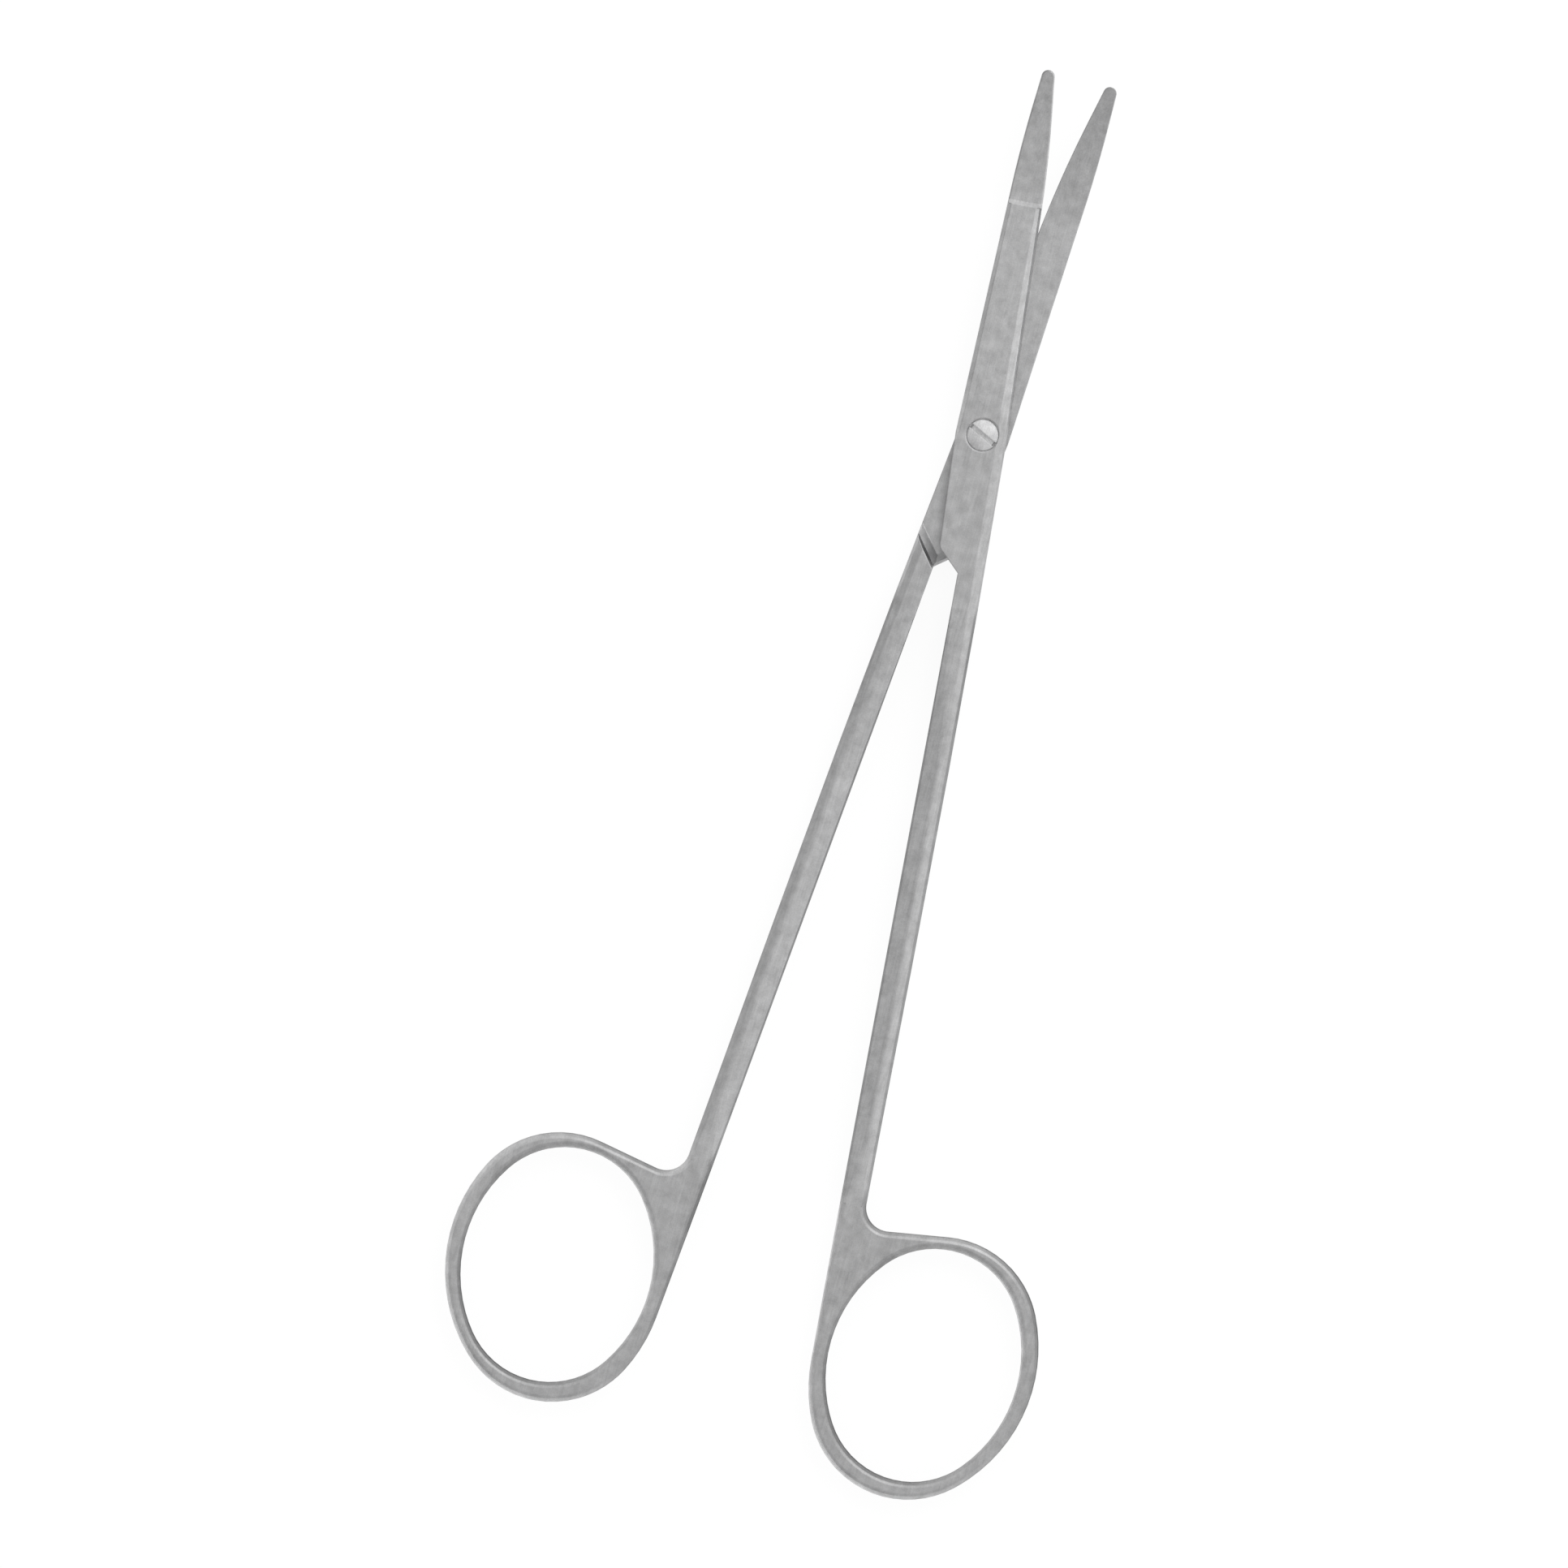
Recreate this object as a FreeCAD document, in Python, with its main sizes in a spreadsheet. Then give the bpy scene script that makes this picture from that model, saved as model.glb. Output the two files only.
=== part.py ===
# Dissecting scissors, 180 mm: two curved-tip halves that lap at a slotted pivot screw.
# Millimetres and degrees. Each half is drawn in its own frame: the pivot axis is Z, the
# blade points to +Y, the lap plane is z = 0, and the finger ring lies to its own side of Y.

import FreeCAD, Part
import math
import os
import Sketcher

doc = FreeCAD.newDocument("dissecting_scissors")

# Sizes
SIZES = [
    # stance
    ("rest_half_angle", 5.05),
    # blade in plan
    ("tip_reach", 46.5),
    ("tip_half_width", 0.75),
    ("tip_corner", 0.8),
    ("back_root", 3.4),
    ("back_knee_across", 1.82),
    ("back_knee_to_tip", 9.7),
    ("back_sweep", 160),
    ("edge_root", 3.1),
    ("edge_knee_across", 2.04),
    ("edge_knee_to_tip", 11.5),
    ("edge_sweep", 150),
    # blade from the side
    ("layer", 2.4),
    ("lap_gap", 0.06),
    ("curl_start", 28),
    ("curl_radius", 40),
    ("curl_angle", 34),
    ("flat_until", 4),
    ("mark_past_curl", 1.25),
    ("mark_height", 1.9),
    ("mark_run", 0.5),
    ("mark_step", 0.16),
    ("ground_flat", 0.5),
    ("upper_outer_radius", 38),
    ("lower_outer_radius", 36),
    ("tip_edge_round", 0.15),
    # ground bevels beside the edge and the back
    ("bevel_width", 0.9),
    ("bevel_drop", 0.52),
    ("bevel_fade", 0.22),
    ("steep_width", 0.3),
    ("steep_drop", 1.15),
    ("back_chamfer", 0.45),
    # half-lap joint
    ("joint_end", 22),
    ("joint_outer", 3.36),
    ("lap_corner_across", 2.8),
    ("lap_diagonal", 17.6),
    ("lap_rounding", 1.0),
    ("shoulder_clearance", 0.32),
    ("step_run", 1.8),
    ("wall_run", 0.45),
    ("ramp_height", 0.5),
    # shank
    ("inner_edge_root", 0.03),
    ("inner_lean", 0.0043),
    ("root_facet", 0.06),
    ("facet_along", 42),
    ("facet_outer", 3.41),
    ("facet_height", 1.68),
    ("middle_along", 68),
    ("middle_outer", 3.27),
    ("middle_height", 1.56),
    ("roof_fade", 8),
    ("roof_end_outer", 3.06),
    ("roof_end_height", 1.47),
    ("neck_to_ring", 18.6),
    ("shank_end_outer", 3.0),
    ("ridge_from_edge", 1.32),
    ("crown_half", 0.5),
    ("crown_radius", 1.1),
    ("side_share", 0.3),
    ("outer_round", 0.36),
    ("outer_share", 0.7),
    ("inner_round", 0.22),
    ("inner_share", 0.75),
    # finger ring
    ("ring_across", 13.75),
    ("ring_along", 116.6),
    ("ring_thickness", 2.9),
    ("hole_inset", 0.07),
    ("hole_lift", 0.35),
    ("ring_flat", 0.56),
    ("ring_softening", 0.18),
    ("hole_long", 14.85),
    ("hole_short", 12.0),
    ("hole_end", 10.6),
    ("hole_tilt", 8),
    ("rim_long", 16.95),
    ("rim_short", 13.85),
    ("rim_end", 12.3),
    ("rim_tilt", 15),
    ("neck_rounding", 3.0),
    ("neck_tilt", 5),
    ("neck_overlap", 0.7),
    # pivot screw
    ("screw_radius", 1.2),
    ("thread_clearance", 0.01),
    ("turning_clearance", 0.05),
    ("head_radius", 1.98),
    ("head_rim", 2.26),
    ("head_rise", 0.5),
    ("cone_clearance", 0.03),
    ("screw_end_recess", 0.08),
    ("slot_width", 0.55),
    ("slot_depth", 0.75),
    ("slot_angle", 24.6),
]

# How far the stock and the cutting profiles reach past the finished metal
STOCK_ABOVE = "(dims.tip_reach - dims.curl_start)"
STOCK_BELOW = "(2 * dims.layer)"
PAST_STOCK = "(2 * dims.tip_reach - 2 * dims.curl_start)"

# Where the blade's two long edges bend towards the tip
BACK_KNEE = "(dims.tip_reach - dims.back_knee_to_tip)"
EDGE_KNEE = "(dims.tip_reach - dims.edge_knee_to_tip)"

# Where the ground mark crosses the blade, and where the shank ends at the ring's neck
MARK = "(dims.curl_start + dims.mark_past_curl)"
SHANK_END = "(dims.ring_along - dims.neck_to_ring)"

# Spots at which an edge is looked at, as shares of its length
WHOLE_EDGE = (0, 0.5, 1)
INSIDE_EDGE = (0.05, 0.5, 0.95)
CLOSE = 0.001

dims = doc.addObject("Spreadsheet::Sheet", "dims")
for row, (alias, value) in enumerate(SIZES, 1):
    dims.set("A%d" % row, alias)
    dims.set("B%d" % row, str(value))
    dims.setAlias("B%d" % row, alias)
doc.recompute()


def size(alias):
    """One value of the sheet as a number."""
    return float(dims.get(alias))


def origin_part(body, role):
    """A plane or an axis of the body's own origin."""
    return next(part for part in body.Origin.OriginFeatures if part.Role == role)


def new_sketch(body, name, role, offset="0"):
    """An empty sketch on an origin plane, moved along the plane's normal."""
    sketch = body.newObject("Sketcher::SketchObject", name)
    sketch.AttachmentSupport = [(origin_part(body, role), "")]
    sketch.MapMode = "FlatFace"
    if offset != "0":
        sketch.setExpression("AttachmentOffset.Base.z", offset)
    doc.recompute()
    return sketch


def number(sketch, expression):
    """The present value of an expression."""
    value = sketch.evalExpression(expression)
    return float(getattr(value, "Value", value))


def bind(sketch, kind, expression, *where):
    """A dimension of the sketch that follows an expression."""
    start = number(sketch, expression)
    if kind == "Angle":
        start = math.radians(start)
    index = sketch.addConstraint(Sketcher.Constraint(kind, *where, start))
    sketch.setExpression("Constraints[%d]" % index, expression)


def pin(sketch, shape, end, across, along):
    """Ties one point of a sketch shape to a pair of expressions."""
    bind(sketch, "DistanceX", across, shape, end)
    bind(sketch, "DistanceY", along, shape, end)


def add_arc(sketch, centre, first, last):
    """An arc of under half a turn: its number, then its ends at the first and last spot."""
    start = first - centre
    finish = last - centre
    turns_left = start.cross(finish).z > 0
    if not turns_left:
        start, finish = finish, start
    circle = Part.Circle(centre, FreeCAD.Vector(0, 0, 1), start.Length)
    angles = [math.atan2(ray.y, ray.x) for ray in (start, finish)]
    arc = sketch.addGeometry(Part.ArcOfCircle(circle, angles[0], angles[1]), False)
    return (arc, 1, 2) if turns_left else (arc, 2, 1)


def add_rounding(sketch, before, after, first, last, centre, rounding):
    """An arc that joins two lines tangentially."""
    arc, near, far = add_arc(sketch, centre, first, last)
    sketch.addConstraint(Sketcher.Constraint("Tangent", before, 2, arc, near))
    sketch.addConstraint(Sketcher.Constraint("Tangent", after, 1, arc, far))
    bind(sketch, "Radius", rounding, arc)


def outline(sketch, corners):
    """A closed outline through corners (across, along, rounding or None)."""
    count = len(corners)
    spots = [
        FreeCAD.Vector(number(sketch, across), number(sketch, along), 0)
        for across, along, rounding in corners
    ]
    arrive = list(spots)
    leave = list(spots)
    centres = [None] * count
    for i, (across, along, rounding) in enumerate(corners):
        if rounding is None:
            continue
        radius = number(sketch, rounding)
        back = (spots[i - 1] - spots[i]).normalize()
        ahead = (spots[(i + 1) % count] - spots[i]).normalize()
        half = back.getAngle(ahead) / 2
        arrive[i] = spots[i] + back * (radius / math.tan(half))
        leave[i] = spots[i] + ahead * (radius / math.tan(half))
        centres[i] = spots[i] + (back + ahead).normalize() * (radius / math.sin(half))
    lines = [
        sketch.addGeometry(Part.LineSegment(leave[i], arrive[(i + 1) % count]), False)
        for i in range(count)
    ]
    for i, (across, along, rounding) in enumerate(corners):
        before = lines[i - 1]
        after = lines[i]
        if rounding is None:
            sketch.addConstraint(Sketcher.Constraint("Coincident", before, 2, after, 1))
            pin(sketch, after, 1, across, along)
            continue
        spot = sketch.addGeometry(Part.Point(spots[i]), True)
        pin(sketch, spot, 1, across, along)
        sketch.addConstraint(Sketcher.Constraint("PointOnObject", spot, 1, before))
        sketch.addConstraint(Sketcher.Constraint("PointOnObject", spot, 1, after))
        add_rounding(sketch, before, after, arrive[i], leave[i], centres[i], rounding)


class Oval:
    """A tilted oval of two end arcs and two flank arcs, beside the arm's centre line."""

    def __init__(self, name, side):
        self.name = name
        self.side = side
        self.across = "dims.ring_across"
        self.along = "dims.ring_along"
        if name == "hole":
            self.across += " - dims.hole_inset"
            self.along += " - dims.hole_lift"
        self.flank = "(dims.{0}_long^2 + dims.{0}_short^2 - 2 * dims.{0}_long * dims.{0}_end)"
        self.flank += " / (2 * dims.{0}_short - 2 * dims.{0}_end)"
        self.flank = self.flank.format(name)
        tilt = math.radians(size(name + "_tilt"))
        lengthwise = FreeCAD.Vector(side * math.sin(tilt), math.cos(tilt), 0)
        outward = FreeCAD.Vector(side * math.cos(tilt), -math.sin(tilt), 0)
        across = number(dims, self.across)
        along = number(dims, self.along)
        middle = FreeCAD.Vector(side * across, -along, 0)
        self.end_radius = size(name + "_end")
        short_half = size(name + "_short")
        reach = size(name + "_long") - self.end_radius
        depth = (reach**2 - (short_half - self.end_radius) ** 2) / (
            2 * (short_half - self.end_radius)
        )
        self.flank_radius = depth + short_half
        self.top = middle + lengthwise * reach
        self.bottom = middle - lengthwise * reach
        self.outer = middle - outward * depth
        self.inner = middle + outward * depth
        self.joins = [
            self.meeting(self.top, self.outer),
            self.meeting(self.bottom, self.outer),
            self.meeting(self.bottom, self.inner),
            self.meeting(self.top, self.inner),
        ]

    def meeting(self, end_centre, flank_centre):
        """Where an end arc meets a flank arc."""
        return end_centre + (end_centre - flank_centre).normalize() * self.end_radius

    def draw(self, sketch, first=None, last=None):
        """The four arcs from the first spot on the top end to the last on the inner flank."""
        begin = first or self.joins[3]
        finish = last or self.joins[3]
        arcs = [
            add_arc(sketch, self.top, begin, self.joins[0]),
            add_arc(sketch, self.outer, self.joins[0], self.joins[1]),
            add_arc(sketch, self.bottom, self.joins[1], self.joins[2]),
            add_arc(sketch, self.inner, self.joins[2], finish),
        ]
        for before, after in zip(arcs, arcs[1:]):
            tangent = Sketcher.Constraint("Tangent", before[0], before[2], after[0], after[1])
            sketch.addConstraint(tangent)
        for arc, radius in zip(arcs, ("dims.%s_end" % self.name, self.flank) * 2):
            bind(sketch, "Radius", radius, arc[0])
        reach = "(dims.{0}_long - dims.{0}_end)".format(self.name)
        for arc, sign in ((arcs[0], 1), (arcs[2], -1)):
            across = "{3} + {1} * {2} * sin(dims.{0}_tilt * 1 deg)"
            along = "{1} * {2} * cos(dims.{0}_tilt * 1 deg) - ({3})"
            across = across.format(self.name, sign, reach, self.across)
            along = along.format(self.name, sign, reach, self.along)
            pin(sketch, arc[0], 3, "%d * (%s)" % (self.side, across), along)
        return arcs


def pad(body, name, sketch, length):
    """Extrudes a sketch along its normal."""
    feature = body.newObject("PartDesign::Pad", name)
    feature.Profile = sketch
    feature.setExpression("Length", length)
    doc.recompute()
    return feature


def pocket_across(body, name, sketch):
    """Cuts a side profile through the whole width."""
    feature = body.newObject("PartDesign::Pocket", name)
    feature.Profile = sketch
    feature.Type = "ThroughAll"
    feature.Midplane = True
    doc.recompute()
    return feature


def run_along(body, kind, name, sketch, direction, length):
    """Pads or cuts a section along a slanting straight edge."""
    feature = body.newObject("PartDesign::" + kind, name)
    feature.Profile = sketch
    feature.UseCustomVector = True
    feature.AlongSketchNormal = True
    for letter, expression in zip("xyz", direction):
        feature.setExpression("Direction.%s" % letter, expression)
    feature.setExpression("Length", length)
    doc.recompute()
    return feature


def groove(body, name, sketch):
    """Turns away a profile all round the pivot axis."""
    feature = body.newObject("PartDesign::Groove", name)
    feature.Profile = sketch
    feature.ReferenceAxis = (origin_part(body, "Z_Axis"), [""])
    feature.Angle = 360
    doc.recompute()
    return feature


def fillet(body, name, base, edges, radius):
    """Rounds the named edges of the feature before it."""
    feature = body.newObject("PartDesign::Fillet", name)
    feature.Base = (base, edges)
    feature.setExpression("Radius", radius)
    doc.recompute()
    return feature


def chamfer(body, name, base, edges, width):
    """Cuts equal flats along the named edges of the feature before it."""
    feature = body.newObject("PartDesign::Chamfer", name)
    feature.Base = (base, edges)
    feature.setExpression("Size", width)
    doc.recompute()
    return feature


def edges_where(feature, test, shares=WHOLE_EDGE):
    """Names of the edges that pass a test at the given shares of their length."""
    names = []
    for i, edge in enumerate(feature.Shape.Edges, 1):
        first, last = edge.ParameterRange
        spots = [edge.valueAt(first + (last - first) * share) for share in shares]
        if all(test(spot) for spot in spots):
            names.append("Edge%d" % i)
    return names


def inner_edge(along):
    """How far the shank's inner edge lies from the arm's centre line."""
    return "dims.inner_edge_root - dims.inner_lean * (%s - dims.joint_end)" % along


def ring_plan(body, side):
    """The ring's outline: a stub of the shank, the neck's hollow, and the rim."""
    plan = new_sketch(body, "ring_plan", "XY_Plane", "-1 * dims.ring_thickness / 2")
    rim = Oval("rim", side)
    rise = math.radians(size("neck_tilt"))
    neck_touch = rim.top + FreeCAD.Vector(-side * math.sin(rise), math.cos(rise), 0) * rim.end_radius
    inner_touch = rim.inner + FreeCAD.Vector(-side, 0, 0) * rim.flank_radius
    stub_level = "dims.neck_overlap - " + SHANK_END
    inner_top = "%d * (%s)" % (side, inner_edge(SHANK_END))
    outer_top = "%d * dims.shank_end_outer" % side
    edge_across = number(plan, outer_top)
    neck_level = neck_touch.y - math.tan(rise) * abs(neck_touch.x - edge_across)
    rounding = size("neck_rounding")
    first = FreeCAD.Vector(number(plan, inner_top), number(plan, stub_level), 0)
    second = FreeCAD.Vector(edge_across, first.y, 0)
    third = FreeCAD.Vector(edge_across, neck_level + rounding, 0)
    centre = FreeCAD.Vector(edge_across + side * rounding, third.y, 0)
    fourth = FreeCAD.Vector(centre.x, neck_level, 0)
    top = plan.addGeometry(Part.LineSegment(first, second), False)
    edge = plan.addGeometry(Part.LineSegment(second, third), False)
    neck = plan.addGeometry(Part.LineSegment(fourth, neck_touch), False)
    inner = plan.addGeometry(Part.LineSegment(inner_touch, first), False)
    pin(plan, top, 1, inner_top, stub_level)
    pin(plan, top, 2, outer_top, stub_level)
    plan.addConstraint(Sketcher.Constraint("Coincident", top, 2, edge, 1))
    plan.addConstraint(Sketcher.Constraint("Coincident", inner, 2, top, 1))
    plan.addConstraint(Sketcher.Constraint("Vertical", edge))
    add_rounding(plan, edge, neck, third, fourth, centre, "dims.neck_rounding")
    lean = "dims.neck_tilt * 1 deg" if side > 0 else "(180 - dims.neck_tilt) * 1 deg"
    bind(plan, "Angle", lean, neck)
    arcs = rim.draw(plan, neck_touch, inner_touch)
    top_arc, top_start = arcs[0][:2]
    inner_arc, inner_end = arcs[3][0], arcs[3][2]
    plan.addConstraint(Sketcher.Constraint("Tangent", neck, 2, top_arc, top_start))
    plan.addConstraint(Sketcher.Constraint("Tangent", inner, 1, inner_arc, inner_end))
    bind(plan, "Distance", "%s - dims.rim_end" % rim.flank, top_arc, 3, inner_arc, 3)
    doc.recompute()
    return plan


def finger_ring(body, side):
    """Oval finger ring and its neck, rounded all round."""
    pad(body, "ring_blank", ring_plan(body, side), "dims.ring_thickness")
    hole = new_sketch(body, "ring_hole", "XY_Plane", "dims.ring_thickness / 2")
    arcs = Oval("hole", side).draw(hole)
    hole.addConstraint(Sketcher.Constraint("Tangent", arcs[3][0], arcs[3][2], arcs[0][0], arcs[0][1]))
    doc.recompute()
    opening = body.newObject("PartDesign::Pocket", "finger_opening")
    opening.Profile = hole
    opening.Type = "ThroughAll"
    doc.recompute()
    face_level = size("ring_thickness") / 2
    wall_level = face_level - size("ring_flat")
    stub_end = size("ring_along") - size("neck_to_ring") - size("neck_overlap")

    def rims_at(feature, level):
        at_level = edges_where(feature, lambda spot: abs(abs(spot.z) - level) < CLOSE)
        at_stub = edges_where(feature, lambda spot: abs(spot.y + stub_end) < CLOSE)
        return [name for name in at_level if name not in at_stub]

    flats = chamfer(body, "ring_flats", opening, rims_at(opening, face_level), "dims.ring_flat")
    rims = rims_at(flats, face_level) + rims_at(flats, wall_level)
    return chamfer(body, "ring_softening", flats, rims, "dims.ring_softening")


def blade_and_lap(body, side, layer):
    """Blade and lap plate in one layer, from the tip back to the shank."""
    plan = new_sketch(body, "arm_plan", "XY_Plane", "-1 * " + STOCK_BELOW)
    lap_inner = inner_edge("dims.joint_end")
    corners = [
        ("dims.edge_root", "0", None),
        ("dims.edge_knee_across", EDGE_KNEE, "dims.edge_sweep"),
        ("dims.tip_half_width", "dims.tip_reach", "dims.tip_corner"),
        ("-1 * dims.tip_half_width", "dims.tip_reach", "dims.tip_corner"),
        ("-1 * dims.back_knee_across", BACK_KNEE, "dims.back_sweep"),
        ("-1 * dims.back_root", "0", None),
        (
            "-1 * dims.lap_corner_across",
            "dims.lap_corner_across - dims.lap_diagonal",
            "dims.lap_rounding",
        ),
        (lap_inner, "-1 * (dims.lap_diagonal + %s)" % lap_inner, "dims.lap_rounding"),
        (lap_inner, "-1 * dims.joint_end", None),
        ("dims.joint_outer", "-1 * dims.joint_end", None),
    ]
    outline(plan, [("%d * (%s)" % (side, x), y, r) for x, y, r in corners])
    doc.recompute()
    pad(body, "arm_blank", plan, STOCK_BELOW + " + " + STOCK_ABOVE)
    face = new_sketch(body, "outer_profile", "YZ_Plane")
    outline(face, upper_outer_face() if layer > 0 else lower_outer_face())
    doc.recompute()
    pocket_across(body, "outer_face", face)
    lap = new_sketch(body, "lap_profile", "XZ_Plane")
    outline(lap, mating_profile(layer))
    doc.recompute()
    groove(body, "lap_face", lap)


def curl_corner(start, radius):
    """Where the level line before a curl would meet the line after it."""
    return "%s + %s * tan(dims.curl_angle / 2 * 1 deg)" % (start, radius)


def after_curl(corner, level):
    """A spot on the line that leaves the curl, beyond the blade's tip."""
    across = "%s + %s * cos(dims.curl_angle * 1 deg)" % (corner, PAST_STOCK)
    height = "%s + %s * sin(dims.curl_angle * 1 deg)" % (level, PAST_STOCK)
    return across, height


def mating_profile(layer):
    """Everything on the far side of the face that slides on the other half."""
    level = "%d * dims.lap_gap / 2" % layer
    far = "%d * %s" % (-layer, PAST_STOCK)
    corner = curl_corner("dims.curl_start", "dims.curl_radius")
    end, end_level = after_curl(corner, level)
    return [
        ("0", level, None),
        (corner, level, "dims.curl_radius"),
        (end, end_level, None),
        (end, far, None),
        ("0", far, None),
    ]


def upper_outer_face():
    """Everything above the upper half's outer face, with the ground hollow of the tip."""
    ground_start = MARK + " + dims.mark_run"
    ground_level = "dims.mark_height - dims.mark_step"
    corner = curl_corner(ground_start + " + dims.ground_flat", "dims.upper_outer_radius")
    end, end_level = after_curl(corner, ground_level)
    back = "-1 * dims.joint_end - dims.layer"
    far = PAST_STOCK
    return [
        (back, "dims.layer", None),
        ("dims.flat_until", "dims.layer", None),
        (MARK, "dims.mark_height", None),
        (ground_start, ground_level, None),
        (corner, ground_level, "dims.upper_outer_radius"),
        (end, end_level, None),
        (end, far, None),
        (back, far, None),
    ]


def lower_outer_face():
    """Everything below the lower half's outer face."""
    corner = curl_corner("dims.curl_start", "dims.lower_outer_radius")
    slope = "(dims.layer - dims.mark_height) / (%s - dims.flat_until)" % MARK
    level = "%s * (%s - dims.flat_until) - dims.layer" % (slope, corner)
    end, end_level = after_curl(corner, level)
    back = "-1 * dims.joint_end - dims.layer"
    far = "-1 * " + PAST_STOCK
    return [
        (back, "-1 * dims.layer", None),
        ("dims.flat_until", "-1 * dims.layer", None),
        (corner, level, "dims.lower_outer_radius"),
        (end, end_level, None),
        (end, far, None),
        (back, far, None),
    ]


def bevel_section(body, name, side, layer):
    """Section of the metal ground off beside the edge: a bevel, then a steep band."""
    sketch = new_sketch(body, name, "XZ_Plane")
    shoulder = "dims.edge_root - dims.steep_width"
    crest = "%s - 2 * dims.bevel_width" % shoulder
    outside = "dims.edge_root + dims.layer"
    foot = "dims.edge_root + dims.steep_width"
    foot_level = "dims.layer - dims.bevel_drop - 2 * dims.steep_drop"
    corners = [
        (crest, "dims.layer + dims.bevel_drop"),
        (shoulder, "dims.layer - dims.bevel_drop"),
        (foot, foot_level),
        (outside, foot_level),
        (outside, "2 * dims.layer"),
        (crest, "2 * dims.layer"),
    ]
    outline(sketch, [("%d * (%s)" % (side, x), "%d * (%s)" % (layer, z), None) for x, z in corners])
    doc.recompute()
    return sketch


def grind_blade(body, side, layer):
    """The bevel beside the cutting edge and the chamfer along the back, up to the mark."""
    section = bevel_section(body, "edge_section", side, layer)
    lean = "(dims.edge_knee_across - dims.edge_root) / " + EDGE_KNEE
    fade = "%d * dims.bevel_fade / %s" % (-layer, MARK)
    direction = ("%d * %s" % (side, lean), "1", fade)
    run_along(body, "Pocket", "edge_bevel", section, direction, MARK)
    back = new_sketch(body, "back_section", "XZ_Plane")
    corners = [
        ("2 * dims.back_chamfer - dims.back_root", "dims.layer + dims.back_chamfer"),
        ("-1 * dims.back_chamfer - dims.back_root", "dims.layer - 2 * dims.back_chamfer"),
        ("-1 * dims.back_chamfer - dims.back_root", "dims.layer + dims.back_chamfer"),
    ]
    outline(back, [("%d * (%s)" % (side, x), "%d * (%s)" % (layer, z), None) for x, z in corners])
    doc.recompute()
    lean = "(dims.back_root - dims.back_knee_across) / " + BACK_KNEE
    fall = "(dims.mark_height - dims.layer) / " + MARK
    direction = ("%d * %s" % (side, lean), "1", "%d * %s" % (layer, fall))
    return run_along(body, "Pocket", "back_bevel", back, direction, MARK)


def step_section(body, name, side, facing, line):
    """Lengthwise section of the diagonal step: a wall, then a gentle ramp past the lap face."""
    sketch = new_sketch(body, name, "YZ_Plane", "%d * (%s)" % (side, inner_edge("dims.joint_end")))
    slope = "(dims.step_run - dims.wall_run) / dims.ramp_height"
    top = "%d * dims.layer" % facing
    root = "%d * dims.lap_gap" % -facing
    corners = [
        ("0", top),
        ("dims.wall_run", "%d * dims.ramp_height" % facing),
        ("dims.step_run + dims.lap_gap * %s" % slope, root),
        ("-1 * dims.step_run", root),
        ("-1 * dims.step_run", top),
    ]
    outline(sketch, [("%s + %s" % (line, y), z, None) for y, z in corners])
    doc.recompute()
    return sketch


def undercut_plate(body, side, layer):
    """Cuts the lap plate's diagonal end back to the shape of the other half's step."""
    line = "-1 * (dims.lap_diagonal + %s)" % inner_edge("dims.joint_end")
    section = step_section(body, "undercut_section", side, layer, line)
    direction = ("%d" % -side, "1", "0")
    return run_along(body, "Pocket", "undercut", section, direction, "dims.back_root + dims.layer")


def shoulder_block(body, side, layer):
    """Full-depth metal behind the diagonal step that the other half closes against."""
    start = "-1 * dims.layer" if layer > 0 else "-1 * dims.lap_gap"
    block = new_sketch(body, "shoulder_plan", "XY_Plane", start)
    inner = inner_edge("dims.joint_end")
    diagonal = "(dims.lap_diagonal + dims.shoulder_clearance * sqrt(2))"
    spread = "(dims.joint_outer - dims.edge_root) / dims.joint_end"
    outer_along = "(%s - dims.edge_root) / (1 + %s)" % (diagonal, spread)
    corners = [
        ("%s - %s" % (diagonal, outer_along), "-1 * %s" % outer_along),
        (inner, "%s - %s" % (inner, diagonal)),
        (inner, "-1 * dims.joint_end"),
        ("dims.joint_outer", "-1 * dims.joint_end"),
    ]
    outline(block, [("%d * (%s)" % (side, x), y, None) for x, y in corners])
    doc.recompute()
    pad(body, "shoulder", block, "dims.layer + dims.lap_gap")
    slope = step_section(body, "step_section", side, -layer, "(%s - %s)" % (inner, diagonal))
    reach = "%s - %s - (%s) - dims.lap_gap / 2" % (diagonal, outer_along, inner)
    run_along(body, "Pad", "diagonal_step", slope, ("%d" % side, "1", "0"), reach)
    length = "dims.joint_end"
    lean = "(dims.joint_outer - dims.edge_root) / dims.joint_end"
    direction = ("%d * %s" % (side, lean), "-1", "0")
    outer = bevel_section(body, "joint_section_outer", side, layer)
    run_along(body, "Pocket", "joint_bevel_outer", outer, direction, length)
    under = bevel_section(body, "joint_section_inner", side, -layer)
    return run_along(body, "Pocket", "joint_bevel_inner", under, direction, length)


def shank_section(body, name, side, along, rows):
    """One section of the shank: half of it in rows (across, height), mirrored in z."""
    sketch = new_sketch(body, name, "XZ_Plane", along)
    upper = [("%d * (%s)" % (side, x), z, None) for x, z in rows]
    lower = [("%d * (%s)" % (side, x), "-1 * (%s)" % z, None) for x, z in reversed(rows)]
    outline(sketch, upper + lower)
    doc.recompute()
    return sketch


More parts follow.
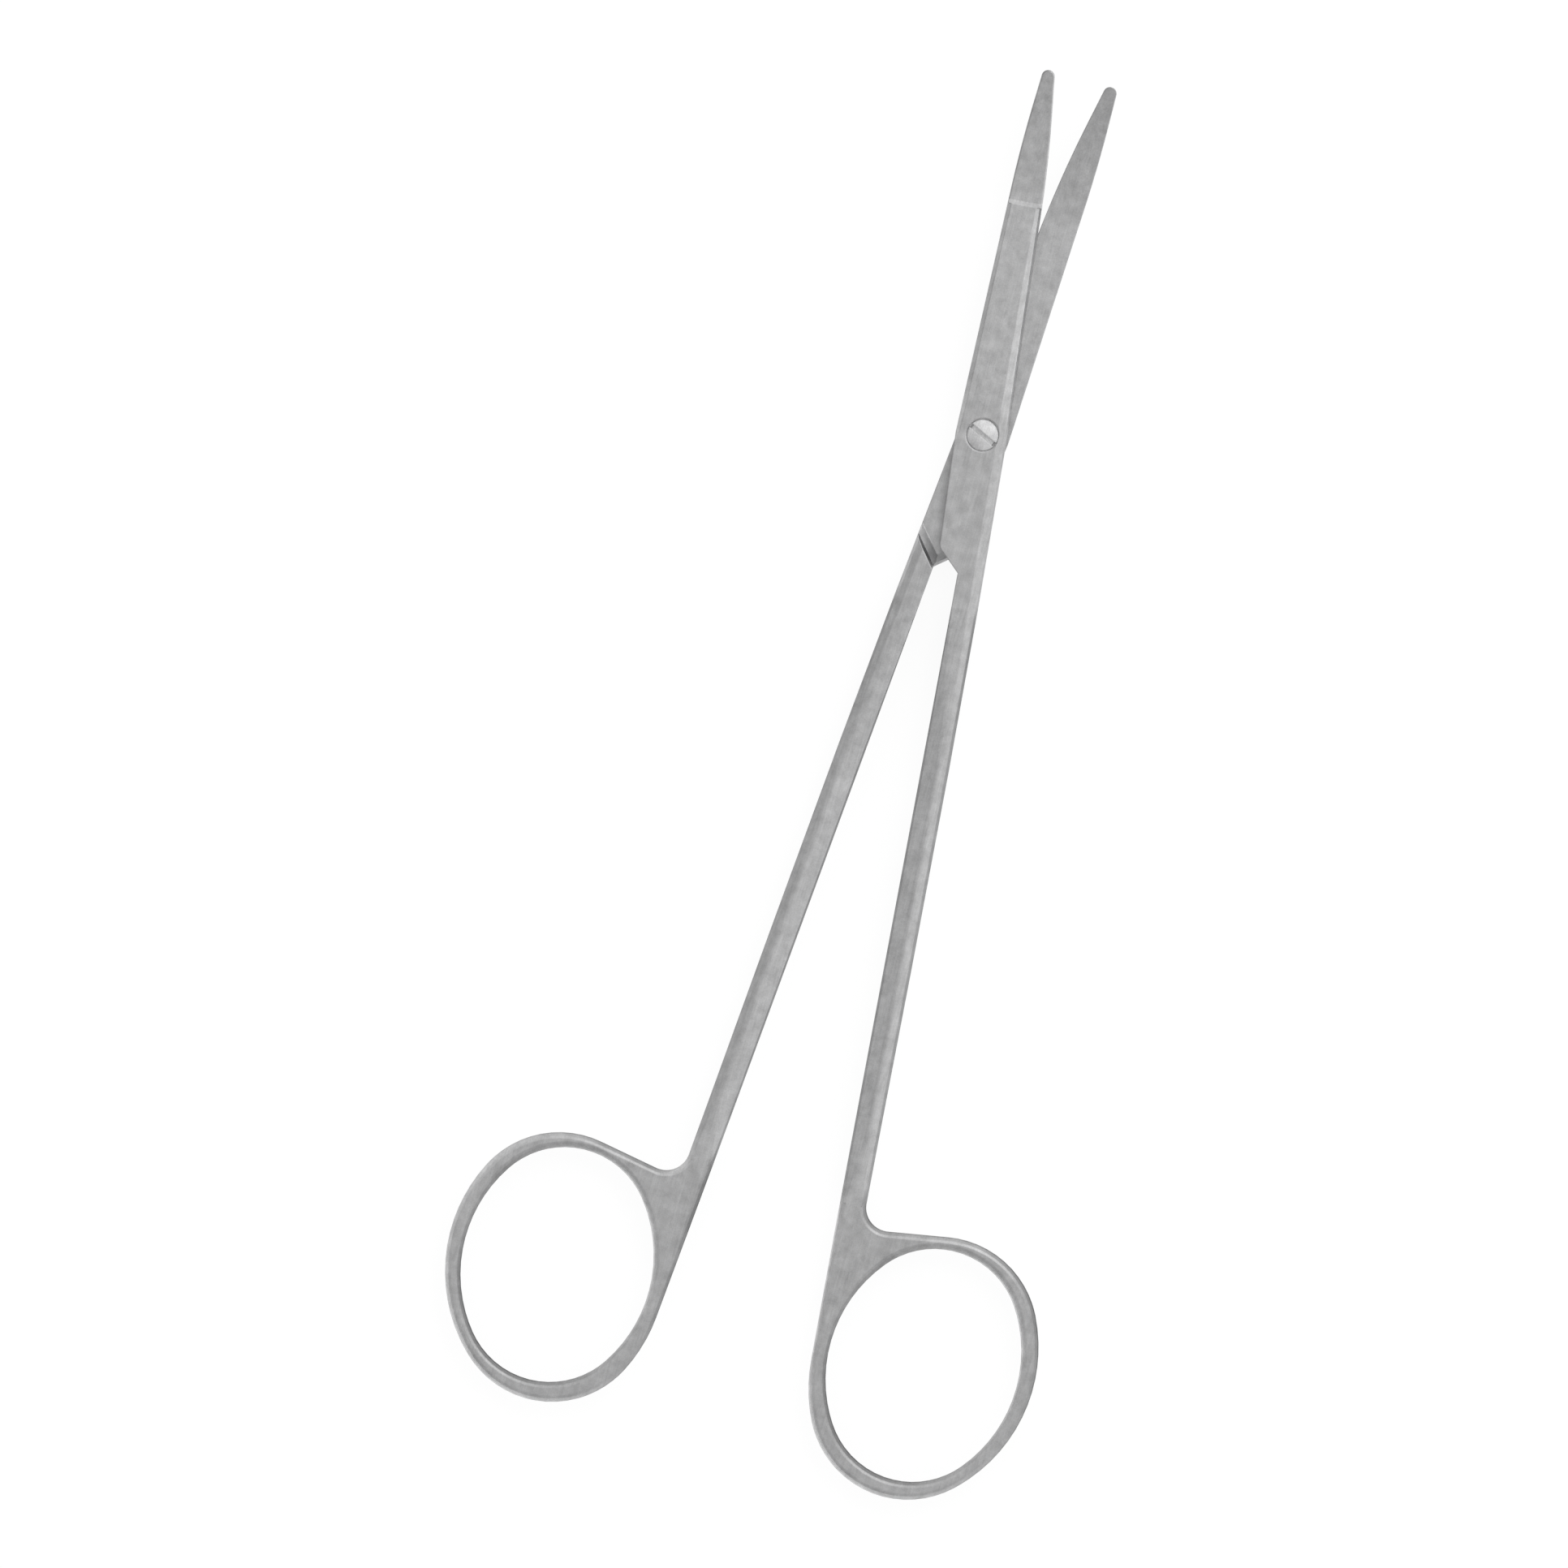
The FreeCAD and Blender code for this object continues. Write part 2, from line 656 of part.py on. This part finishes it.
def roof_rows(outer, inner, height):
    """Half a roof-shaped section: two facets that meet in a crowned ridge."""
    crest = "(%s - dims.ridge_from_edge)" % outer
    drop = "dims.crown_half^2 / (2 * dims.crown_radius)"
    return [
        (outer, "dims.side_share * %s" % height),
        ("%s - dims.outer_round" % outer, "dims.outer_share * %s" % height),
        ("%s + dims.crown_half" % crest, "%s - %s" % (height, drop)),
        ("%s + dims.crown_half / 2" % crest, "%s - %s / 4" % (height, drop)),
        (crest, height),
        ("%s - dims.crown_half / 2" % crest, "%s - %s / 4" % (height, drop)),
        ("%s - dims.crown_half" % crest, "%s - %s" % (height, drop)),
        ("%s + dims.inner_round" % inner, "dims.inner_share * %s" % height),
        (inner, "dims.side_share * %s" % height),
    ]


def named_roof(name, along):
    """Rows of the roof section whose outer edge and height carry this name."""
    return roof_rows("dims.%s_outer" % name, inner_edge(along), "dims.%s_height" % name)


def flat_rows(start, end, height):
    """Three spots spread along a flat top, where other sections have their crown."""
    spread = "%s + (%s - (%s)) * %d / 4"
    return [(spread % (start, end, start, i), height) for i in (1, 2, 3)]


def shank(body, side):
    """Shank from the joint to the neck of the ring."""
    joint_inner = inner_edge("dims.joint_end")
    bevel_top = "dims.joint_outer - dims.steep_width - dims.bevel_width"
    root_top = "%s + dims.root_facet" % joint_inner
    joint_rows = [
        ("dims.joint_outer", "dims.layer - dims.bevel_drop - dims.steep_drop"),
        ("dims.joint_outer - dims.steep_width", "dims.layer - dims.bevel_drop"),
        (bevel_top, "dims.layer"),
        *flat_rows(bevel_top, root_top, "dims.layer"),
        (root_top, "dims.layer"),
        ("%s + dims.root_facet / 3" % joint_inner, "dims.layer - dims.root_facet / 3"),
        (joint_inner, "dims.layer - dims.root_facet"),
    ]
    end_inner = inner_edge(SHANK_END)
    half = "dims.ring_thickness / 2"
    soft = "dims.ring_flat / 2"
    end_top = "dims.shank_end_outer - dims.ring_flat"
    end_foot = "%s + dims.ring_flat" % end_inner
    end_rows = [
        ("dims.shank_end_outer", "%s - dims.ring_flat" % half),
        ("dims.shank_end_outer - %s" % soft, "%s - %s" % (half, soft)),
        (end_top, half),
        *flat_rows(end_top, end_foot, half),
        (end_foot, half),
        ("%s + %s" % (end_inner, soft), "%s - %s" % (half, soft)),
        (end_inner, "%s - dims.ring_flat" % half),
    ]
    roof_end = "(%s - dims.roof_fade)" % SHANK_END
    stations = [
        ("dims.joint_end", joint_rows),
        ("dims.facet_along", named_roof("facet", "dims.facet_along")),
        ("dims.middle_along", named_roof("middle", "dims.middle_along")),
        (roof_end, named_roof("roof_end", roof_end)),
        (SHANK_END, end_rows),
    ]
    sections = [
        shank_section(body, "shank_section_%d" % i, side, along, rows)
        for i, (along, rows) in enumerate(stations, 1)
    ]
    loft = body.newObject("PartDesign::AdditiveLoft", "shank")
    loft.Profile = sections[0]
    loft.Sections = sections[1:]
    loft.Ruled = True
    doc.recompute()
    return loft


def round_tip(body, base, layer):
    """Softens the outer edge of the curved end, round the point."""
    start = number(dims, MARK)
    if layer > 0:
        start += size("mark_run")
    radius = size("curl_radius")
    curl = size("curl_start")
    reach = size("tip_reach")
    middle = size("tip_edge_round") / 2
    outer_half = size("layer") / 5

    def on_outer_rim(spot):
        lengthwise_seam = abs(spot.x) < middle and spot.y < reach - CLOSE
        if lengthwise_seam or spot.y < start + CLOSE:
            return False
        past = max(0, math.hypot(spot.x, spot.y) - curl)
        mating_level = radius - math.sqrt(radius**2 - past**2)
        return layer * (spot.z - mating_level) > outer_half

    rim = edges_where(base, on_outer_rim, INSIDE_EDGE)
    return fillet(body, "tip_rounding", base, rim, "dims.tip_edge_round")


def through_hole(body, name, radius):
    """A round hole through the lap plate on the pivot axis."""
    sketch = new_sketch(body, name + "_plan", "XY_Plane", STOCK_ABOVE)
    spot = FreeCAD.Vector(0, 0, 0)
    circle = sketch.addGeometry(Part.Circle(spot, FreeCAD.Vector(0, 0, 1), number(sketch, radius)))
    sketch.addConstraint(Sketcher.Constraint("Coincident", circle, 3, -1, 1))
    bind(sketch, "Radius", radius, circle)
    doc.recompute()
    hole = body.newObject("PartDesign::Pocket", name)
    hole.Profile = sketch
    hole.Type = "ThroughAll"
    doc.recompute()
    return hole


def countersink(body):
    """The cone that takes the screw's head in the upper half."""
    sketch = new_sketch(body, "countersink_profile", "XZ_Plane")
    mouth = "(dims.head_radius + dims.cone_clearance * sqrt(2))"
    above = "2 * dims.layer"
    outline(
        sketch,
        [
            ("0", "dims.head_rim - %s" % mouth, None),
            ("%s + %s - dims.head_rim" % (mouth, above), above, None),
            ("0", above, None),
        ],
    )
    doc.recompute()
    return groove(body, "countersink", sketch)


def scissor_half(name, side, layer):
    """One half of the scissors: ring, blade, lap and shank in one piece."""
    body = doc.addObject("PartDesign::Body", name)
    body.Label = name
    body.AllowCompound = True
    blade_and_lap(body, side, layer)
    ground = grind_blade(body, side, layer)
    round_tip(body, ground, layer)
    undercut_plate(body, side, layer)
    shoulder_block(body, side, layer)
    if layer > 0:
        through_hole(body, "pivot_hole", "dims.screw_radius + dims.turning_clearance")
        countersink(body)
    else:
        through_hole(body, "threaded_hole", "dims.screw_radius + dims.thread_clearance")
    finger_ring(body, side)
    body.Tip = shank(body, side)
    body.Placement.Rotation = FreeCAD.Rotation(FreeCAD.Vector(0, 0, side), 1)
    body.setExpression("Placement.Rotation.Angle", "dims.rest_half_angle * 1 deg")
    body.setExpression("Placement.Base.z", "dims.layer")
    doc.recompute()
    return body


def screw_profile(body):
    """Half section of the screw: shank, cone and the low dome of its head."""
    profile = new_sketch(body, "screw_profile", "XZ_Plane")
    foot = "dims.screw_end_recess - dims.layer"
    top = "dims.head_rim + dims.head_rise"
    dome = "(dims.head_radius^2 + dims.head_rise^2) / (2 * dims.head_rise)"
    corners = [
        ("0", foot),
        ("dims.screw_radius", foot),
        ("dims.screw_radius", "dims.head_rim + dims.screw_radius - dims.head_radius"),
        ("dims.head_radius", "dims.head_rim"),
        ("0", top),
    ]
    spots = [FreeCAD.Vector(number(profile, x), number(profile, y), 0) for x, y in corners]
    sides = [
        profile.addGeometry(Part.LineSegment(start, finish), False)
        for start, finish in zip(spots, spots[1:4])
    ]
    axis = profile.addGeometry(Part.LineSegment(spots[4], spots[0]), False)
    centre = spots[4] - FreeCAD.Vector(0, number(profile, dome), 0)
    head, rim_end, top_end = add_arc(profile, centre, spots[3], spots[4])
    meetings = [
        (sides[0], 2, sides[1], 1),
        (sides[1], 2, sides[2], 1),
        (sides[2], 2, head, rim_end),
        (head, top_end, axis, 1),
        (axis, 2, sides[0], 1),
    ]
    for meeting in meetings:
        profile.addConstraint(Sketcher.Constraint("Coincident", *meeting))
    for side, (across, along) in zip(sides + [head, axis], corners):
        start = rim_end if side == head else 1
        pin(profile, side, start, across, along)
    bind(profile, "Radius", dome, head)
    doc.recompute()
    return profile


def pivot_screw():
    """Slotted raised countersunk screw, its end just inside the lower half's underside."""
    body = doc.addObject("PartDesign::Body", "pivot_screw")
    body.Label = "pivot_screw"
    profile = screw_profile(body)
    turned = body.newObject("PartDesign::Revolution", "turned_screw")
    turned.Profile = profile
    turned.ReferenceAxis = (origin_part(body, "Z_Axis"), [""])
    turned.Angle = 360
    doc.recompute()
    plan = new_sketch(body, "slot_plan", "XY_Plane", "dims.head_rim + dims.head_rise")
    half = "dims.slot_width / 2"
    reach = "(dims.head_radius + dims.slot_width)"
    outline(
        plan,
        [
            ("-1 * %s" % reach, "-1 * %s" % half, None),
            (reach, "-1 * %s" % half, None),
            (reach, half, None),
            ("-1 * %s" % reach, half, None),
        ],
    )
    doc.recompute()
    slot = body.newObject("PartDesign::Pocket", "slot")
    slot.Profile = plan
    slot.setExpression("Length", "dims.slot_depth")
    body.Tip = slot
    body.Placement.Rotation = FreeCAD.Rotation(FreeCAD.Vector(0, 0, -1), 1)
    body.setExpression("Placement.Rotation.Angle", "dims.slot_angle * 1 deg")
    body.setExpression("Placement.Base.z", "dims.layer")
    doc.recompute()
    return body


pieces = [
    scissor_half("upper_blade_half", 1, 1),
    scissor_half("lower_blade_half", -1, -1),
    pivot_screw(),
]
doc.recompute()

for item in doc.Objects:
    if "Invalid" in item.State or "Error" in item.State:
        raise RuntimeError("%s failed: %s" % (item.Name, item.State))

os.makedirs("parts", exist_ok=True)
for piece in pieces:
    shape = piece.Shape
    if shape.isNull() or not shape.isValid() or len(shape.Solids) != 1:
        raise RuntimeError("%s is not one sound solid" % piece.Label)
    shape.exportStep("parts/%s.step" % piece.Label)
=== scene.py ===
import math

import bpy
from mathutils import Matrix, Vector

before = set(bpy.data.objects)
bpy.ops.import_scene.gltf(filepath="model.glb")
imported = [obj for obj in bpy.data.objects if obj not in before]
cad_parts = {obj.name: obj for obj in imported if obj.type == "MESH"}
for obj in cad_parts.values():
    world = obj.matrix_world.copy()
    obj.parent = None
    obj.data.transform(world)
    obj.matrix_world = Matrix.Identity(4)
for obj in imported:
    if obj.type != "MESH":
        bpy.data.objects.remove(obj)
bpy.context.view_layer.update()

# Lengths are in metres. A side is an angle in the picture, from its right edge over its top.
MM = 0.001

# Camera: straight above the scissors, turned so that they lie aslant as photographed
VIEW_CENTRE = (-12.41 * MM, -48.85 * MM)
VIEW_WIDTH = 197.0 * MM
VIEW_TURN = math.radians(15.4)
CAMERA_HEIGHT = 5.0
SENSOR = 36.0
CLIP_START = 0.01
CLIP_END = 20.0

# Light, as a soft studio: brighter from the picture's upper right
LIGHT_SIDE = math.radians(45)
SKY_LEVEL = 0.70
SKY_TILT = 0.36
SKY_DIP = 0.17
KEY_POWER = 0.2
KEY_SIZE = 0.25
KEY_HEIGHT = 0.45
KEY_OFFSET = 0.26

# Floor: nearly white where it sends light back to the scissors. The camera and the metal see a
# darker colour that keeps the shadow, and a glow that makes the two white together.
FLOOR_WHITE = 0.95
FLOOR_SHADOW = 0.16
FLOOR_GLOW = 0.905
FLOOR_ROUGHNESS = 0.9
FLOOR_REACH = 30.0
FLOOR_DROP = 0.02 * MM

# Where the rings' and the joint's painted light and shade fade into the shanks': start and full
RING_FADE = (-94 * MM, -100 * MM)
FRONT_FADE = (-24 * MM, -20 * MM)

# Painted shade on the side faces of the shanks and rings, painted light on those of the joint
# and
# blades: upright part of the normal where it is full and where it ends, and the shade in each
# zone
STEEP_NORMAL = 0.56
LEVEL_NORMAL = 0.90
SHANK_SIDE_PAINTED_SHADE = 0.64
FRONT_SIDE_PAINTED_LIGHT = 1.15
RING_SIDE_PAINTED_SHADE = 0.80

# Painted light and shade by the side each face faces, added up along the scissors. Each row:
# where it starts and is full, the side whose faces are painted brighter, how much brighter, and
# how much brighter level faces are painted.
PAINTED_LIGHT_BY_FACING = [
    # Rings
    (*RING_FADE, math.radians(216), 0.64, -0.06),
    # Necks: the second row ends what the first one starts
    (-94 * MM, -97 * MM, math.radians(110), 0.32, 0.0),
    (-104 * MM, -110 * MM, math.radians(110), -0.32, 0.0),
    # Joint and blades
    (*FRONT_FADE, 0.0, 0.0, -0.05),
    # Blades
    (0 * MM, 8 * MM, 0.0, 0.30, 0.0),
    # Curled tips
    (27 * MM, 33 * MM, math.radians(270), 0.72, 0.0),
]

# Grain of the steel: sizes, and how far each makes the shade vary about 1
MOTTLE_SIZE = 1.5 * MM
MOTTLE_DETAIL = 4.0
MOTTLE_CRISPNESS = 0.62
MOTTLE_SHADE = 0.33
GRAIN_SIZE = 0.16 * MM
GRAIN_SHADE = 0.16
STROKE_SIZE = 0.22 * MM
STROKE_SQUEEZE = (1, 0.05, 1)
STROKE_SHADE = 0.14

# Share of grain and strokes in the relief, and its strength
GRAIN_RELIEF = 0.6
STROKE_RELIEF = 0.4
RELIEF_STRENGTH = 0.5

# Edges softened in the shading, and painted shade darkening the recesses within this reach
EDGE_RADIUS = 0.2 * MM
EDGE_SAMPLES = 6
RECESS_REACH = 1.2 * MM
RECESS_SAMPLES = 8

# Steel: trace of blue, brightness at a glancing angle, and how far the roughness varies
BLUE_TRACE = 1.005
GLANCING = (0.45, 0.45, 0.45, 1)
ROUGHNESS_SPREAD = 0.05

# Each half's stance, for the direction of its strokes
HALF_ANGLE = math.radians(5.05)

# Each row: CAD node, material, direction of the strokes, grey, roughness, depth of the relief,
# and the painted shade in the recesses
FINISHES = [
    ("upper_blade_half", "satin_upper", HALF_ANGLE, 0.60, 0.36, 0.02 * MM, 0.82),
    ("lower_blade_half", "satin_lower", -HALF_ANGLE, 0.60, 0.36, 0.02 * MM, 0.92),
    ("pivot_screw", "screw_steel", 0.0, 0.88, 0.66, 0.01 * MM, 0.95),
]


def towards(side, reach, height):
    """A vector to a side of the picture and up."""
    bearing = side + VIEW_TURN
    return (reach * math.cos(bearing), reach * math.sin(bearing), height)


def add(tree, kind, **settings):
    """A node with its settings."""
    node = tree.nodes.new(kind)
    for name, value in settings.items():
        setattr(node, name, value)
    return node


def feed(tree, socket, value):
    """Sets an input to a number, or links it."""
    if isinstance(value, (int, float)):
        socket.default_value = value
    else:
        tree.links.new(value, socket)


def math_node(tree, operation, first, second=0.0):
    """A math node on links or numbers."""
    node = add(tree, "ShaderNodeMath", operation=operation)
    feed(tree, node.inputs[0], first)
    feed(tree, node.inputs[1], second)
    return node.outputs[0]


def spread(tree, value, low, high):
    """Maps 0..1 to a range."""
    node = add(tree, "ShaderNodeMapRange")
    tree.links.new(value, node.inputs["Value"])
    node.inputs["To Min"].default_value = low
    node.inputs["To Max"].default_value = high
    return node.outputs["Result"]


def fade(tree, value, start, full, low=0.0, high=1.0):
    """Runs softly from low to high while a value goes from start to full."""
    node = add(tree, "ShaderNodeMapRange", interpolation_type="SMOOTHSTEP")
    tree.links.new(value, node.inputs["Value"])
    node.inputs["From Min"].default_value = start
    node.inputs["From Max"].default_value = full
    feed(tree, node.inputs["To Min"], low)
    feed(tree, node.inputs["To Max"], high)
    return node.outputs["Result"]


def part_of(tree, vector, axis):
    """One coordinate of a vector."""
    node = add(tree, "ShaderNodeSeparateXYZ")
    tree.links.new(vector, node.inputs["Vector"])
    return node.outputs[axis]


def lean(tree, vector, direction):
    """How far a vector leans in a direction."""
    node = add(tree, "ShaderNodeVectorMath", operation="DOT_PRODUCT")
    tree.links.new(vector, node.inputs[0])
    node.inputs[1].default_value = direction
    return node.outputs["Value"]


def noise(tree, vector, size, detail=2.0, crispness=0.5):
    """Noise whose largest features are about this size."""
    node = add(tree, "ShaderNodeTexNoise")
    tree.links.new(vector, node.inputs["Vector"])
    node.inputs["Scale"].default_value = 1 / size
    node.inputs["Detail"].default_value = detail
    node.inputs["Roughness"].default_value = crispness
    return node.outputs["Fac"]


def squeezed(tree, vector, turn, squeeze):
    """Coordinates turned about the upright axis and squeezed, for strokes."""
    node = add(tree, "ShaderNodeMapping")
    tree.links.new(vector, node.inputs["Vector"])
    node.inputs["Rotation"].default_value = (0, 0, turn)
    node.inputs["Scale"].default_value = squeeze
    return node.outputs["Vector"]


def painted_side_shade(tree, along, normal):
    """Painted shade of the side faces by their zone, painted light on the joint's and blades';
    faces that are nearly level keep 1.
    """
    # Painted shade and painted light on steep faces, by zone along the scissors
    front = fade(tree, along, *FRONT_FADE, SHANK_SIDE_PAINTED_SHADE, FRONT_SIDE_PAINTED_LIGHT)
    ring = fade(tree, along, *RING_FADE, 0.0, RING_SIDE_PAINTED_SHADE - SHANK_SIDE_PAINTED_SHADE)
    shade = math_node(tree, "ADD", front, ring)
    upright = math_node(tree, "ABSOLUTE", part_of(tree, normal, "Z"))
    return fade(tree, upright, STEEP_NORMAL, LEVEL_NORMAL, shade)


def painted_light_by_facing(tree, along, normal):
    """Painted light and shade on each face, by its zone and the side it faces."""
    turned = add(tree, "ShaderNodeVectorTransform", vector_type="NORMAL")
    turned.convert_from = "WORLD"
    turned.convert_to = "OBJECT"
    tree.links.new(normal, turned.inputs["Vector"])
    shade = 1.0
    # Each row paints faces brighter or darker by the side they face
    for start, full, side, strength, level in PAINTED_LIGHT_BY_FACING:
        brighter = lean(tree, turned.outputs["Vector"], towards(side, strength, level))
        brighter = math_node(tree, "MULTIPLY", brighter, fade(tree, along, start, full))
        shade = math_node(tree, "ADD", brighter, shade)
    return shade


def steel(name, turn, grey, rough, relief_depth, recess_painted_shade):
    """Satin surgical steel: blasted grain, faint lengthwise strokes and soft mottling, softened
    edges, painted shade in the recesses and on the side faces, and painted light and shade by
    the side each face faces."""
    material = bpy.data.materials.new(name)
    material.use_nodes = True
    tree = material.node_tree
    shader = tree.nodes["Principled BSDF"]
    place = add(tree, "ShaderNodeTexCoord").outputs["Object"]
    along = part_of(tree, place, "Y")

    mottle = noise(tree, place, MOTTLE_SIZE, MOTTLE_DETAIL, MOTTLE_CRISPNESS)
    grain = noise(tree, place, GRAIN_SIZE)
    strokes = noise(tree, squeezed(tree, place, turn, STROKE_SQUEEZE), STROKE_SIZE)
    edge = add(tree, "ShaderNodeBevel", samples=EDGE_SAMPLES)
    edge.inputs["Radius"].default_value = EDGE_RADIUS
    normal = edge.outputs["Normal"]
    # Painted shade in the recesses and between the halves, from occlusion
    recess = add(tree, "ShaderNodeAmbientOcclusion", samples=RECESS_SAMPLES)
    recess.inputs["Distance"].default_value = RECESS_REACH

    shade = 1.0
    for pattern, share in (
        (mottle, MOTTLE_SHADE),
        (grain, GRAIN_SHADE),
        (strokes, STROKE_SHADE),
    ):
        shade = math_node(tree, "ADD", spread(tree, pattern, -share, share), shade)
    # Painted shade on the side faces and in the recesses, and painted light and shade by the
    # side each face faces, times the grain's tone
    for factor in (
        painted_side_shade(tree, along, normal),
        painted_light_by_facing(tree, along, normal),
        spread(tree, recess.outputs["AO"], recess_painted_shade, 1.0),
    ):
        shade = math_node(tree, "MULTIPLY", shade, factor)
    tint = add(tree, "ShaderNodeMix", data_type="RGBA", blend_type="MULTIPLY")
    tint.inputs["Factor"].default_value = 1.0
    tint.inputs["A"].default_value = (grey, grey, grey * BLUE_TRACE, 1)
    tree.links.new(shade, tint.inputs["B"])
    tree.links.new(tint.outputs["Result"], shader.inputs["Base Color"])

    shader.inputs["Metallic"].default_value = 1.0
    shader.inputs["Specular Tint"].default_value = GLANCING
    roughness = spread(tree, mottle, rough - ROUGHNESS_SPREAD, rough + ROUGHNESS_SPREAD)
    tree.links.new(roughness, shader.inputs["Roughness"])

    grain_height = spread(tree, grain, 0, GRAIN_RELIEF)
    stroke_height = spread(tree, strokes, 0, STROKE_RELIEF)
    relief = add(tree, "ShaderNodeBump")
    relief.inputs["Strength"].default_value = RELIEF_STRENGTH
    relief.inputs["Distance"].default_value = relief_depth
    height = math_node(tree, "ADD", grain_height, stroke_height)
    tree.links.new(height, relief.inputs["Height"])
    tree.links.new(normal, relief.inputs["Normal"])
    tree.links.new(relief.outputs["Normal"], shader.inputs["Normal"])
    return material


def dress(node, material):
    """Gives a CAD node its finish."""
    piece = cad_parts[node]
    piece.data.materials.clear()
    piece.data.materials.append(material)


def floor_finish():
    """White to the camera and in the metal, with the shadow kept."""
    material = bpy.data.materials.new("floor_white")
    material.use_nodes = True
    tree = material.node_tree
    ray = add(tree, "ShaderNodeLightPath").outputs
    seen = math_node(tree, "MAXIMUM", ray["Is Camera Ray"], ray["Is Glossy Ray"])
    seen = math_node(tree, "MAXIMUM", seen, ray["Is Transmission Ray"])
    diffuse = tree.nodes["Principled BSDF"]
    colour = spread(tree, seen, FLOOR_WHITE, FLOOR_SHADOW)
    tree.links.new(colour, diffuse.inputs["Base Color"])
    diffuse.inputs["Roughness"].default_value = FLOOR_ROUGHNESS
    diffuse.inputs["Specular IOR Level"].default_value = 0.0
    glow = add(tree, "ShaderNodeEmission")
    feed(tree, glow.inputs["Strength"], math_node(tree, "MULTIPLY", seen, FLOOR_GLOW))
    both = add(tree, "ShaderNodeAddShader")
    tree.links.new(diffuse.outputs[0], both.inputs[0])
    tree.links.new(glow.outputs[0], both.inputs[1])
    tree.links.new(both.outputs[0], tree.nodes["Material Output"].inputs["Surface"])
    return material


def floor():
    """A plain floor just under the scissors."""
    mesh = bpy.data.meshes.new("floor")
    corners = [
        (-FLOOR_REACH, -FLOOR_REACH, -FLOOR_DROP),
        (FLOOR_REACH, -FLOOR_REACH, -FLOOR_DROP),
        (FLOOR_REACH, FLOOR_REACH, -FLOOR_DROP),
        (-FLOOR_REACH, FLOOR_REACH, -FLOOR_DROP),
    ]
    mesh.from_pydata(corners, [], [(0, 1, 2, 3)])
    mesh.materials.append(floor_finish())
    plane = bpy.data.objects.new("floor", mesh)
    bpy.context.scene.collection.objects.link(plane)


def sky():
    """Soft light all round, a little stronger from one side and weaker overhead."""
    world = bpy.data.worlds.new("studio")
    bpy.context.scene.world = world
    world.use_nodes = True
    tree = world.node_tree
    light = tree.nodes["Background"]
    direction = add(tree, "ShaderNodeTexCoord").outputs["Generated"]
    level = lean(tree, direction, towards(LIGHT_SIDE, 1.0, -SKY_DIP))
    level = math_node(tree, "MULTIPLY", level, SKY_TILT)
    level = math_node(tree, "ADD", level, SKY_LEVEL)
    tree.links.new(level, light.inputs["Strength"])
    light.inputs["Color"].default_value = (1, 1, 1, 1)


def key_light():
    """A large soft box above the picture's upper right."""
    lamp = bpy.data.lights.new("key", "AREA")
    lamp.shape = "SQUARE"
    lamp.size = KEY_SIZE
    lamp.energy = KEY_POWER
    spot = Vector(towards(LIGHT_SIDE, KEY_OFFSET, KEY_HEIGHT))
    box = bpy.data.objects.new("key", lamp)
    box.location = spot
    box.rotation_mode = "QUATERNION"
    box.rotation_quaternion = (-spot).to_track_quat("-Z", "Y")
    bpy.context.scene.collection.objects.link(box)


def camera():
    """A long lens straight above."""
    lens = bpy.data.cameras.new("camera")
    lens.sensor_width = SENSOR
    lens.lens = SENSOR * CAMERA_HEIGHT / VIEW_WIDTH
    lens.clip_start = CLIP_START
    lens.clip_end = CLIP_END
    eye = bpy.data.objects.new("camera", lens)
    eye.location = (*VIEW_CENTRE, CAMERA_HEIGHT)
    eye.rotation_euler = (0, 0, VIEW_TURN)
    bpy.context.scene.collection.objects.link(eye)
    bpy.context.scene.camera = eye


camera()
floor()
sky()
key_light()

for node, *finish in FINISHES:
    dress(node, steel(*finish))

bpy.context.scene.view_settings.view_transform = "Standard"
